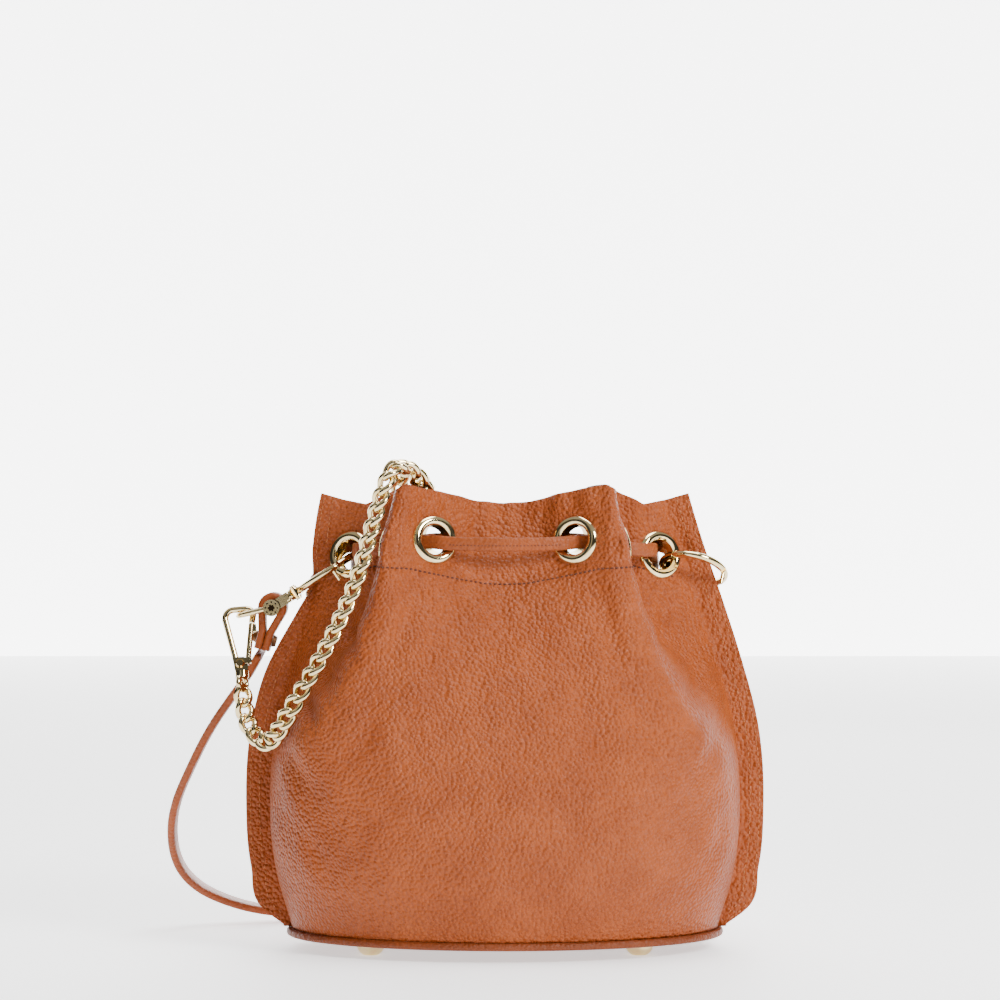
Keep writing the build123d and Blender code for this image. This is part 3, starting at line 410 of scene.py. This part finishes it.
def crease(x, z, start, end, width, depth):
    """A straight soft fold line drawn on the front view, deepest at its middle."""
    a, b = np.array(start, float), np.array(end, float)
    run = b - a
    rel = np.stack([x - a[0], z - a[1]], axis=-1)
    t = np.clip((rel @ run) / (run @ run), 0, 1)
    off = np.linalg.norm(rel - t[..., None] * run, axis=-1)
    fade = np.sin(pi * np.clip(t, 0.02, 0.98)) ** 0.6
    return depth * fade * (np.exp(-(off / width) ** 2) - 0.45 * np.exp(-((off - 2 * width) / width) ** 2))


CREASES = [
    ((-84, 132), (-70, 112), 2.6, -1.5), ((-90, 112), (-72, 92), 3.0, -1.4),
    ((-94, 92), (-78, 66), 3.2, -1.5), ((-82, 120), (-76, 88), 2.2, -1.0),
    ((-98, 74), (-84, 40), 3.4, -1.2), ((-66, 146), (-60, 118), 2.4, -1.2),
    ((-76, 150), (-68, 128), 2.0, -1.0), ((-88, 60), (-70, 34), 3.2, -0.9),
    ((84, 132), (74, 104), 2.8, -1.0), ((92, 104), (80, 74), 3.4, -1.1),
    ((66, 148), (62, 120), 2.4, -1.0), ((94, 66), (82, 36), 3.6, -0.8),
    ((-10, 176), (-16, 150), 3.0, -0.7), ((12, 178), (16, 154), 3.0, -0.7),
    ((0, 150), (-2, 128), 4.5, -0.6), ((-36, 150), (-44, 118), 3.6, -0.8),
    ((37, 150), (46, 116), 3.6, -0.8), ((-48, 110), (-60, 78), 4.5, -0.7),
    ((50, 108), (62, 74), 4.5, -0.7), ((-30, 120), (-22, 96), 5.5, -0.5),
    ((26, 122), (34, 92), 5.5, -0.5),
]
BACK_CREASES = [
    ((-84, 130), (-72, 108), 2.8, -1.2), ((90, 106), (76, 84), 3.2, -1.2),
    ((-94, 80), (-80, 52), 3.4, -1.1), ((84, 60), (70, 30), 3.6, -0.9),
    ((-40, 148), (-50, 112), 3.4, -0.9), ((38, 150), (44, 118), 3.6, -0.8),
    ((4, 176), (8, 148), 3.0, -0.7), ((-14, 140), (-22, 108), 5.0, -0.7),
    ((20, 116), (36, 84), 5.5, -0.6),
]


def outer_grid(creases):
    """Outer surface of the front half, seam flanges included, as rows of points."""
    net = hermite(LEVELS, NET, ROWS)
    left = -hermite([r[1] for r in LEFT_EDGE], [r[0] for r in LEFT_EDGE], np.maximum(ROWS, 9))
    right = hermite([r[1] for r in RIGHT_EDGE], [r[0] for r in RIGHT_EDGE], np.maximum(ROWS, 9))
    face = np.full(len(ROWS), -1.55)
    net[:, 0, 1] = -1.55
    net[:, -1, 1] = -1.55
    columns = [np.stack([left, face], -1), np.stack([(left + net[:, 0, 0]) / 2, face], -1)]
    ends = [np.stack([(right + net[:, -1, 0]) / 2, face], -1), np.stack([right, face], -1)]
    full = np.concatenate([np.stack(columns, 1), net, np.stack(ends, 1)], axis=1)
    count = full.shape[1]
    wanted = np.linspace(0, count - 1, (count - 1) * PER_SEGMENT + 1)
    plan = hermite(np.arange(count), full.transpose(1, 0, 2), wanted).transpose(1, 0, 2)
    plan[..., 1] = np.minimum(plan[..., 1], -FLANGE_FACE)
    top = np.interp(np.abs(plan[..., 0]), [r[0] for r in RIM], [r[1] for r in RIM])
    lift = np.clip((ROWS - 163.5) / 22.5, 0, 1)[:, None]
    height = np.where(lift > 0, 163.5 + lift * (top - 163.5), ROWS[:, None])
    grid = np.concatenate([plan, height[..., None]], axis=-1)
    normal = grid_normals(grid)
    x, z = grid[..., 0], grid[..., 2]
    push = np.zeros(x.shape)
    for start, end, width, depth in creases:
        push += crease(x, z, start, end, width, depth)
    push += 0.5 * np.sin(x * 0.16 + 0.05 * z + 1.1) * np.sin(z * 0.075 + 0.03 * x)
    push += 0.22 * np.sin(x * 0.43 - 0.11 * z) * np.sin(z * 0.21 + 0.9)
    push += 0.45 * np.clip((z - 150) / 30, 0, 1) * np.sin(x * 0.62 + 0.4)
    inside = np.clip((np.minimum(x - left[:, None], right[:, None] - x) - 10) / 10, 0, 1)
    low = np.clip((z - 12) / 18, 0, 1)
    grid = grid + normal * (push * inside * low)[..., None]
    grid[..., 1] = np.minimum(grid[..., 1], -FLANGE_FACE)
    return grid


def grid_normals(grid):
    """Outward normal at each point of a grid."""
    du = np.gradient(grid, axis=1)
    dv = np.gradient(grid, axis=0)
    return unit(np.cross(du, dv))


def eyelet_frames(table):
    """Centre and outward normal of each of a panel's six eyelets."""
    found = []
    for x, y, z, yaw, tilt in table:
        for side in (1, -1):
            level = cos(radians(tilt))
            normal = [side * sin(radians(yaw)) * level, -cos(radians(yaw)) * level, sin(radians(tilt))]
            found.append((np.array([side * x, y, z]), np.array(normal)))
    return found


def flattened(grid, depth, eyelets_here):
    """Leather pressed flat where the eyelets clamp it."""
    moved = grid.copy()
    for centre, normal in eyelets_here:
        rel = moved - centre
        height = rel @ normal
        radial = np.linalg.norm(rel - height[..., None] * normal, axis=-1)
        share = np.clip((15.5 - radial) / 5.0, 0, 1)
        share = share * share * (3 - 2 * share) * (np.abs(height + depth) < 7)
        moved += normal * ((-0.02 - depth - height) * share)[..., None]
    return moved


def grid_faces(rows, columns, start=0, flip=False):
    """Quads of a grid whose points are numbered row by row."""
    faces = []
    for r in range(rows - 1):
        for c in range(columns - 1):
            a = start + r * columns + c
            face = (a, a + 1, a + columns + 1, a + columns)
            faces.append(face[::-1] if flip else face)
    return faces


def shell_object(name, outer, inner, eyelets_here, material, back):
    """A closed layer between two grids, with holes for the eyelets."""
    rows, columns = outer.shape[:2]
    points = np.concatenate([outer.reshape(-1, 3), inner.reshape(-1, 3)])
    second = rows * columns
    faces = grid_faces(rows, columns) + grid_faces(rows, columns, second, True)
    border = ([(r * columns) for r in range(rows)][::-1] + list(range(1, columns))
              + [r * columns + columns - 1 for r in range(1, rows)]
              + [(rows - 1) * columns + c for c in range(columns - 2, 0, -1)])
    for a, b in zip(border, border[1:] + border[:1]):
        faces.append((b, a, a + second, b + second))
    corners = np.array(faces)
    middle = points[corners].mean(axis=1)
    keep = np.ones(len(faces), bool)
    for centre, normal in eyelets_here:
        rel = middle - centre
        height = rel @ normal
        radial = np.linalg.norm(rel - height[:, None] * normal, axis=1)
        keep &= ~((radial < EYELET_HOLE) & (np.abs(height) < 7.5))
    if back:
        points[:, 1] *= -1
        corners = corners[:, ::-1]
    return mesh_object(name, points, corners[keep].tolist(), material)


def layer(outer, normal, depth, eyelets_here):
    """The surface at a depth under the outer one, pressed flat at the eyelets."""
    moved = outer - normal * depth
    moved[..., 1] = np.minimum(moved[..., 1], -0.05)
    return flattened(moved, depth, eyelets_here)


FLANGE_COLUMNS = 2 * PER_SEGMENT
for half, table, creases in (("front", FRONT_EYELETS, CREASES), ("back", BACK_EYELETS, BACK_CREASES)):
    back = half == "back"
    rings = eyelet_frames(table)
    grid = outer_grid(creases)
    normal = grid_normals(grid)
    outer = flattened(grid, 0, rings)
    inner = layer(grid, normal, PANEL_THICKNESS, rings)
    panel = shell_object(f"{half}_panel_leather", outer, inner, rings, body_leather, back)
    settle(panel, "caramel_leather", f"{half}_panel")
    trim = slice(FLANGE_COLUMNS + 6, grid.shape[1] - FLANGE_COLUMNS - 6)
    upper = ROWS > FACING_BOTTOM
    facing = shell_object(f"{half}_facing_leather", layer(grid, normal, 2.35, rings)[upper][:, trim],
                          layer(grid, normal, 3.75, rings)[upper][:, trim], rings, trim_leather, back)
    settle(facing, "caramel_leather", f"{half}_facing")
    lower = (ROWS > LINING_BOTTOM) & ~upper
    lining = shell_object(f"{half}_lining_cloth", layer(grid, normal, 2.4, [])[lower][:, trim],
                          layer(grid, normal, 3.1, [])[lower][:, trim], [], lining_cloth, back)
    settle(lining, "lining_fabric", f"{half}_lining")

    # The line of dark stitches that holds the facing, and the light rows down the seam flanges.
    surface_normal = grid_normals(outer)
    flip = np.array([1.0, -1.0 if back else 1.0, 1.0])
    wanted = np.interp(np.abs(outer[np.searchsorted(ROWS, 155), :, 0]), [0, 8, 20, 38, 52, 62, 80, 92],
                       [149.0, 149.3, 151.5, 155.4, 156.2, 153.0, 148.5, 151.0])
    columns = range(FLANGE_COLUMNS + 8, outer.shape[1] - FLANGE_COLUMNS - 8)
    line = np.array([[np.interp(wanted[c], outer[:, c, 2], outer[:, c, k]) for k in range(3)]
                     for c in columns])
    lift = np.array([[np.interp(wanted[c], outer[:, c, 2], surface_normal[:, c, k]) for k in range(3)]
                     for c in columns])
    runs = np.concatenate([[0], np.cumsum(np.linalg.norm(np.diff(line, axis=0), axis=1))])
    places = np.arange(1.0, runs[-1], 1.95)
    spots = np.stack([np.interp(places, runs, line[:, k]) for k in range(3)], 1)
    lifts = unit(np.stack([np.interp(places, runs, lift[:, k]) for k in range(3)], 1))
    along = tangents(spots)
    across = np.cross(lifts, along)
    made = stitches(f"{half}_facing_stitches", spots * flip, along * flip, across * flip, lifts * flip,
                    dark_thread, length=1.4, width=0.36)
    settle(made, "caramel_leather")
    rows_of_spots = []
    for edge_table, side in ((LEFT_EDGE, -1), (RIGHT_EDGE, 1)):
        for inset in (1.8, 5.6):
            height = np.arange(12.0, 184.0, 2.3)
            x = hermite([r[1] for r in edge_table], [r[0] for r in edge_table], height) - inset
            seam = np.abs(hermite(LEVELS, NET[:, -1, 0], height)) + 1.2
            keep = x > seam
            rows_of_spots.append(np.stack([side * x[keep], np.full(keep.sum(), -1.56), height[keep]], 1))
    for index, spots in enumerate(rows_of_spots):
        along = tangents(spots)
        lifts = np.tile([0.0, -1.0, 0.0], (len(spots), 1))
        across = np.cross(lifts, along)
        made = stitches(f"{half}_seam_stitches_{index}", spots * flip, along * flip, across * flip,
                        lifts * flip, light_thread, length=1.5, width=0.24)
        settle(made, "caramel_leather")


# ---------------------------------------------------------------- base
def oval_solid(name, profile, material, steps=120):
    """A solid of oval rings: the profile gives each one's distance inside the edge, and its height."""
    rings = []
    for inset, height in profile:
        turn = np.linspace(0, 2 * pi, steps, endpoint=False)
        rings.append(np.stack([(BASE_HALF_WIDTH - inset) * np.cos(turn),
                               (BASE_HALF_DEPTH - inset) * np.sin(turn), np.full(steps, height)], axis=1))
    return mesh_object(name, np.concatenate(rings), tube_faces(len(rings), steps), material)


def oval_plate(name, margin, bottom, thickness, material, edge=0.5):
    """A flat oval plate with softened edges, a margin inside the base's edge."""
    low, high = bottom, bottom + thickness
    under = [(margin + 40, low), (margin + 12, low), (margin + edge, low), (margin + 0.1, low + edge * 0.4)]
    over = [(inset, low + high - height) for inset, height in reversed(under)]
    return oval_solid(name, under + over, material)


def oval_ring(name, profile, material, steps=160):
    """A closed oval ring with a rounded section."""
    rings = []
    for turn in np.linspace(0, 2 * pi, steps, endpoint=False):
        out = unit(np.array([cos(turn) / BASE_HALF_WIDTH, sin(turn) / BASE_HALF_DEPTH]))
        spot = np.array([BASE_HALF_WIDTH * cos(turn), BASE_HALF_DEPTH * sin(turn)])
        rings.append([(*(spot - out * inset), height) for inset, height in profile])
    rings = np.array(rings)
    return mesh_object(name, rings.reshape(-1, 3), tube_faces(steps, len(profile), closed=True), material)


settle(oval_plate("base_leather", 3.8, BASE_Z, 2.2, trim_leather), "caramel_leather", "base_panel")
settle(oval_plate("base_card", 5.0, 7.35, 2.0, board_card), "stiffener_board", "base_board")
settle(oval_plate("base_cloth", 6.2, 11.35, 0.7, lining_cloth, 0.2), "lining_fabric", "base_lining")
WELT_PROFILE = [(3.5, 5.1), (1.0, 5.05), (0.25, 5.5), (0.0, 6.3), (0.1, 7.3), (0.7, 8.0), (1.6, 8.2),
                (3.5, 8.2)]
settle(oval_ring("base_welt_leather", WELT_PROFILE, trim_leather), "caramel_leather", "base_welt")


# ---------------------------------------------------------------- drawstring
def blended_hint(first, second, share):
    """Width directions that turn from the first to the second as share goes from 0 to 1."""
    share = np.clip(share, 0, 1)[:, None]
    return np.array(first, float) * (1 - share) + np.array(second, float) * share


steps_from_end = np.minimum(np.arange(len(lace_line)), np.arange(len(lace_line))[::-1])
ends_near = 1 - np.clip((steps_from_end * 1.4 - 48) / 14, 0, 1)
lace_hint = blended_hint((0, 0, 1), (1, 0, 0), ends_near)
rings, across, normal = band(lace_line, lace_hint, LACE_HALF_WIDTH, LACE_HALF_THICKNESS)
settle(band_object("lace_leather", rings, strap_leather), "caramel_leather", "drawstring")
front_part = (lace_line[:, 1] < -34.5) & (np.abs(lace_line[:, 0]) < 22)
spots = lace_line[front_part]
outward = np.where((normal[front_part][:, 1] < 0)[:, None], normal[front_part], -normal[front_part])
made = stitches("lace_stitches", spots + outward * 1.2 - across[front_part] * 0.5, tangents(spots),
                across[front_part], outward, dark_thread, length=1.0, width=0.2)
settle(made, "caramel_leather")

slider_axis = unit(np.array([0.0, 0.2747, -0.9615]))
slider_top = np.array([0.0, 41.6, 160.0]) + slider_axis * 4.6
slider_face = np.cross(slider_axis, [1.0, 0, 0])
slider_rings = []
for share, grow in ((0, -0.5), (0.5, 0), (8.3, 0), (8.8, -0.5)):
    for width, depth in ((8.3 + grow, 3.9 + grow), (6.9 - grow * 0.4, 2.0 - grow * 0.4)):
        ring = []
        for turn in np.linspace(0, 2 * pi, 48, endpoint=False):
            x = width * np.sign(cos(turn)) * abs(cos(turn)) ** 0.45
            y = depth * np.sign(sin(turn)) * abs(sin(turn)) ** 0.6
            ring.append(slider_top + slider_axis * share + np.array([x, 0, 0]) + slider_face * y)
        slider_rings.append(ring)
order = [0, 2, 4, 6, 7, 5, 3, 1]
slider_points = np.array([slider_rings[k] for k in order]).reshape(-1, 3)
keeper = mesh_object("slider_leather", slider_points, tube_faces(8, 48, closed=True), trim_leather)
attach(keeper, "slider")
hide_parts("drawstring_slider")


# ---------------------------------------------------------------- strap and its loops
def strap_width_hint():
    """The strap lies flat against the left hook and turns to the right hook's bar at its end."""
    runs = np.arange(len(strap_line)) * 2.0
    from_end = runs[-1] - runs
    return blended_hint((0, 1, 0), (0.975, -0.064, -0.212), 1 - (from_end - 8) / 70)


rings, across, normal = band(strap_line, strap_width_hint(), STRAP_HALF_WIDTH, STRAP_HALF_THICKNESS)
strap = settle(band_object("strap_leather_band", rings, strap_leather), "strap_leather",
               "strap_left", "strap_hank", "strap_right")

PINS = {"left": ((-94.97, 0, 138.94), (0, 1, 0), (-99.6, 0, 121.5)),
        "right": ((76.38, 22.31, 143.22), (0.975, -0.064, -0.212), (79.2, 22.6, 124.5))}
for side, (pin, spread, foot) in PINS.items():
    pin, spread, foot = (np.array(v, float) for v in (pin, spread, foot))
    spread = unit(spread)
    down = foot - pin
    reach = float(np.linalg.norm(down - spread * (down @ spread)))
    down = unit(down - spread * (down @ spread))
    out = np.cross(down, spread)
    plan = [(reach - 0.2 - 1.2 * k, 1.62) for k in range(7)]
    plan += [(4.6 * cos(radians(a)), 4.45 * sin(radians(a))) for a in range(66, 295, 12)]
    plan += [(reach - 0.2 - 1.2 * k, -1.62) for k in range(6, -1, -1)]
    line = np.array([pin + down * u + out * v for u, v in plan])
    rings, across, normal = band(line, np.tile(spread, (len(line), 1)), 6.4, 1.5)
    made = band_object(f"{side}_loop_leather", rings, strap_leather)
    settle(made, "strap_leather", f"{side}_strap_loop")


def paint_pin_shade(name, centre, outward, upward):
    """Near-black discs painted as shade over the star socket and the ring of dots on a cross pin's head."""
    side = np.cross(upward, outward)
    shapes = [((0.0, 0.0), 1.25, 0.28)]
    shapes += [((2.45 * cos(k * pi / 4), 2.45 * sin(k * pi / 4)), 0.34, 0.0) for k in range(8)]
    points, faces = [], []
    for (u, v), radius, wave in shapes:
        start = len(points)
        for height in (0.02, 0.10):
            for turn in np.linspace(0, 2 * pi, 36, endpoint=False):
                reach = radius + wave * cos(6 * turn)
                points.append(centre + side * (u + reach * cos(turn)) + upward * (v + reach * sin(turn))
                              + outward * height)
        faces += [tuple(v + start for v in face) for face in tube_faces(2, 36)]
    settle(mesh_object(name, points, faces, painted_socket_shade, smooth=False), "dark_screw")


# painted shade: near-black discs laid on the left cross pin's head where its star socket and dots are
# recessed
paint_pin_shade("left_pin_painted_shade", np.array([-94.97, -13.2, 138.94]), np.array([0.0, -1.0, 0.0]),
          np.array([0.0, 0.0, 1.0]))


# ---------------------------------------------------------------- chain
def curb_link():
    """Centreline of one twisted link of a curb chain."""
    turns = np.linspace(0, 2 * pi, 36, endpoint=False)
    twist = radians(50) * np.cos(turns)
    return np.stack([LINK_HALF_LENGTH * np.cos(turns), LINK_HALF_WIDTH * np.sin(turns) * np.cos(twist),
                     LINK_HALF_WIDTH * np.sin(turns) * np.sin(twist)], axis=1)


def ring_tube(centre_line, radius, sides=8):
    """Points of a closed round tube along a closed line."""
    along = unit(np.roll(centre_line, -1, axis=0) - np.roll(centre_line, 1, axis=0))
    out = unit(centre_line - (centre_line * along).sum(1)[:, None] * along)
    up = np.cross(along, out)
    angles = np.linspace(0, 2 * pi, sides, endpoint=False)
    return (centre_line[:, None, :] + radius * (np.cos(angles)[None, :, None] * out[:, None, :]
                                                + np.sin(angles)[None, :, None] * up[:, None, :]))


link_shape = ring_tube(curb_link(), LINK_WIRE)
link_faces = tube_faces(link_shape.shape[0], link_shape.shape[1], closed=True)
link_size = link_shape.shape[0] * link_shape.shape[1]
chain_length = (len(chain_line) - 1) * np.linalg.norm(chain_line[1] - chain_line[0])
link_count = 2 * int(chain_length / LINK_PITCH / 2)
places = (np.arange(link_count) + 0.5) / link_count * (len(chain_line) - 1)
spots = np.stack([np.interp(places, np.arange(len(chain_line)), chain_line[:, k]) for k in range(3)], 1)
along = unit(np.stack([np.interp(places, np.arange(len(chain_line)), tangents(chain_line)[:, k])
                       for k in range(3)], 1))
weight = np.clip((np.abs(spots[:, 1]) - 26) / 14, 0, 1)[:, None]
weight = np.where((spots[:, 2] < 170)[:, None], 1.0, weight)
facing_out = weight * np.stack([np.zeros(link_count), np.sign(spots[:, 1]), np.zeros(link_count)], 1)
facing_out = facing_out + (1 - weight) * np.array([0.0, 0.0, 1.0])
facing_out = unit(facing_out - (facing_out * along).sum(1)[:, None] * along)
sideways = np.cross(facing_out, along)
turned = radians(42) * np.clip((spots[:, 2] - 92) / 20, 0, 1)[:, None] * (spots[:, 1:2] < 0)
facing_out = facing_out * np.cos(turned) + sideways * np.sin(turned)
sideways = np.cross(facing_out, along)
flat = link_shape.reshape(-1, 3)
points = (spots[:, None, :] + along[:, None, :] * flat[None, :, 0:1]
          + sideways[:, None, :] * flat[None, :, 1:2] + facing_out[:, None, :] * flat[None, :, 2:3])
faces = [tuple(v + link_size * k for v in face) for k in range(link_count) for face in link_faces]
chain = mesh_object("curb_chain", points.reshape(-1, 3), faces, gold)
settle(chain, "gold_metal", "chain_links")


# ---------------------------------------------------------------- floor and light
paint, paint_shader = new_material("floor_paint", (0.97, 0.97, 0.97), 0.6)
paint_shader.inputs["Emission Color"].default_value = (1, 1, 1, 1)
paint_shader.inputs["Emission Strength"].default_value = 1.0
floor = mesh_object("floor", [(-3000, -3000, 0), (3000, -3000, 0), (3000, 3000, 0), (-3000, 3000, 0)],
                    [(0, 1, 2, 3)], paint, smooth=False)
white, white_shader = new_material("white_backdrop", (1, 1, 1), 1.0)
white_shader.inputs["Emission Color"].default_value = (1, 1, 1, 1)
white_shader.inputs["Emission Strength"].default_value = 5.0
backdrop = mesh_object("backdrop", [(-3000, 2600, -10), (3000, 2600, -10), (3000, 2600, 2600),
                                    (-3000, 2600, 2600)], [(0, 1, 2, 3)], white, smooth=False)
card, _ = new_material("dark_card", (0.01, 0.01, 0.01), 0.9)
for index, (x, y) in enumerate(((-900, -700), (620, -1500))):
    made = mesh_object(f"dark_card_{index}", [(x, y, 60), (x + 260, y - 200, 60), (x + 260, y - 200, 1100),
                                              (x, y, 1100)], [(0, 1, 2, 3)], card, smooth=False)


def area_light(name, place, aim, size, power):
    light = bpy.data.lights.new(name, "AREA")
    light.size = size
    light.energy = power
    made = bpy.data.objects.new(name, light)
    made.location = place
    made.rotation_euler = (Vector(aim) - Vector(place)).to_track_quat("-Z", "Y").to_euler()
    bpy.context.scene.collection.objects.link(made)


area_light("key", (0.75, -0.85, 0.8), (0, 0, 0.1), 0.4, 22)
area_light("fill", (-0.7, -1.1, 0.4), (0, 0, 0.1), 0.8, 0.8)
area_light("top", (0.1, 0.0, 1.2), (0, 0, 0.1), 0.6, 12)
area_light("rear", (0.3, 1.1, 0.7), (0, 0, 0.1), 0.9, 3)


def studio_world():
    """Bright overhead and near the floor, dark in between, so that the metal has both to mirror."""
    world = bpy.data.worlds.new("studio")
    bpy.context.scene.world = world
    world.use_nodes = True
    nodes, links = world.node_tree.nodes, world.node_tree.links
    place = nodes.new("ShaderNodeTexCoord")
    apart = nodes.new("ShaderNodeSeparateXYZ")
    ramp = nodes.new("ShaderNodeValToRGB")
    ramp.color_ramp.elements[0].position = 0.0
    ramp.color_ramp.elements[0].color = (0.75, 0.75, 0.75, 1)
    ramp.color_ramp.elements[1].position = 0.75
    ramp.color_ramp.elements[1].color = (1, 1, 1, 1)
    for spot, level in ((0.04, 0.12), (0.42, 0.10), (0.58, 0.9)):
        step = ramp.color_ramp.elements.new(spot)
        step.color = (level, level, level, 1)
    links.new(place.outputs["Generated"], apart.inputs["Vector"])
    links.new(apart.outputs["Z"], ramp.inputs["Fac"])
    links.new(ramp.outputs["Color"], nodes["Background"].inputs["Color"])
    nodes["Background"].inputs["Strength"].default_value = 0.45


studio_world()
